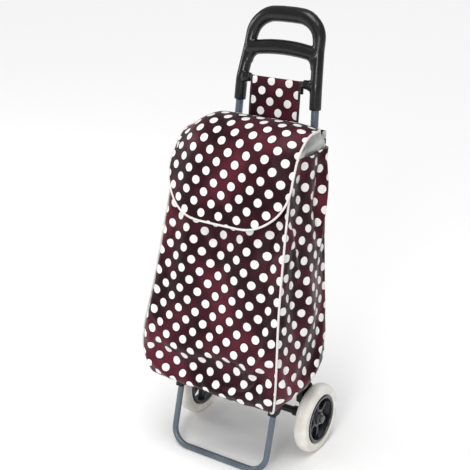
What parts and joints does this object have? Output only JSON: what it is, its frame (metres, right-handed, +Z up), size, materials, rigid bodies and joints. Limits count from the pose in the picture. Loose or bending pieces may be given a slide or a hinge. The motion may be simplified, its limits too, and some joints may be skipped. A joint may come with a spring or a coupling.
{
  "type": "shopping trolley",
  "caption": "Two-wheeled shopping trolley: a dotted fabric bag with a lid flap on a leaning tube frame, with a folding stand and a looped grip.",
  "frame": {"origin": "on the floor under the centre of the trolley's bounding box", "axes": "+Z up, front towards -Y, wheels turn about X"},
  "size_m": [0.3366, 0.3218, 0.917],
  "materials": {
    "handle_plastic": "black moulded plastic with a soft gloss",
    "grey_coat": "grey powder coat on steel tube",
    "black_plastic": "black moulded plastic",
    "black_coat": "black painted steel",
    "zinc": "zinc plated steel",
    "foam_tyre": "cream foam tyre",
    "nylon": "natural nylon",
    "satin": "dark maroon satin with white dots",
    "lining": "silver-grey gathered lining",
    "piping": "white piping",
    "webbing": "black webbing",
    "board": "stiff black board"
  },
  "bodies": {
    "frame": {"handle": "handle_plastic", "handle_screws": "zinc", "upright_left": "grey_coat", "upright_right": "grey_coat", "cross_bar_lower": "grey_coat", "cross_bar_upper": "grey_coat", "hanger_rod": "zinc", "bracket_left": "black_plastic", "bracket_right": "black_plastic", "bracket_bolts": "zinc", "bracket_nuts": "zinc", "axle": "zinc", "axle_sleeve": "black_coat", "sleeve_screws": "zinc", "axle_spacers": "nylon", "axle_washers": "zinc", "axle_caps": "zinc", "stand_pivots": "zinc", "stand_pivot_nuts": "zinc", "bag_body": "satin", "bag_collar": "lining", "bag_piping_left": "piping", "bag_piping_right": "piping", "bag_tab": "satin", "bag_straps": "webbing"},
    "wheel_left": {"tyre_left": "foam_tyre", "hub_left": "black_plastic", "bush_left": "nylon"},
    "wheel_right": {"tyre_right": "foam_tyre", "hub_right": "black_plastic", "bush_right": "nylon"},
    "stand": {"stand": "grey_coat", "stand_corner_left": "black_plastic", "stand_corner_right": "black_plastic", "base_board": "board"},
    "flap": {"flap": "satin", "flap_piping": "piping"}
  },
  "joints": [
    {"name": "wheel_left_spin", "type": "hinge", "parent": "frame", "child": "wheel_left", "pos_m": [0.15, 0.0351, 0.075], "axis": [1, 0, 0], "continuous": true},
    {"name": "wheel_right_spin", "type": "hinge", "parent": "frame", "child": "wheel_right", "pos_m": [-0.15, 0.0351, 0.075], "axis": [1, 0, 0], "continuous": true},
    {"name": "stand_fold", "type": "hinge", "parent": "frame", "child": "stand", "pos_m": [0, 0.0131, 0.162], "axis": [-1, 0, 0], "range_deg": [0, 80], "deforming": ["bag_body", "bag_collar", "bag_piping_left", "bag_piping_right", "flap", "flap_piping"]},
    {"name": "flap_open", "type": "hinge", "parent": "frame", "child": "flap", "pos_m": [0, 0.08643, 0.69209], "axis": [-1, 0, 0], "range_deg": [0, 70]}
  ]
}
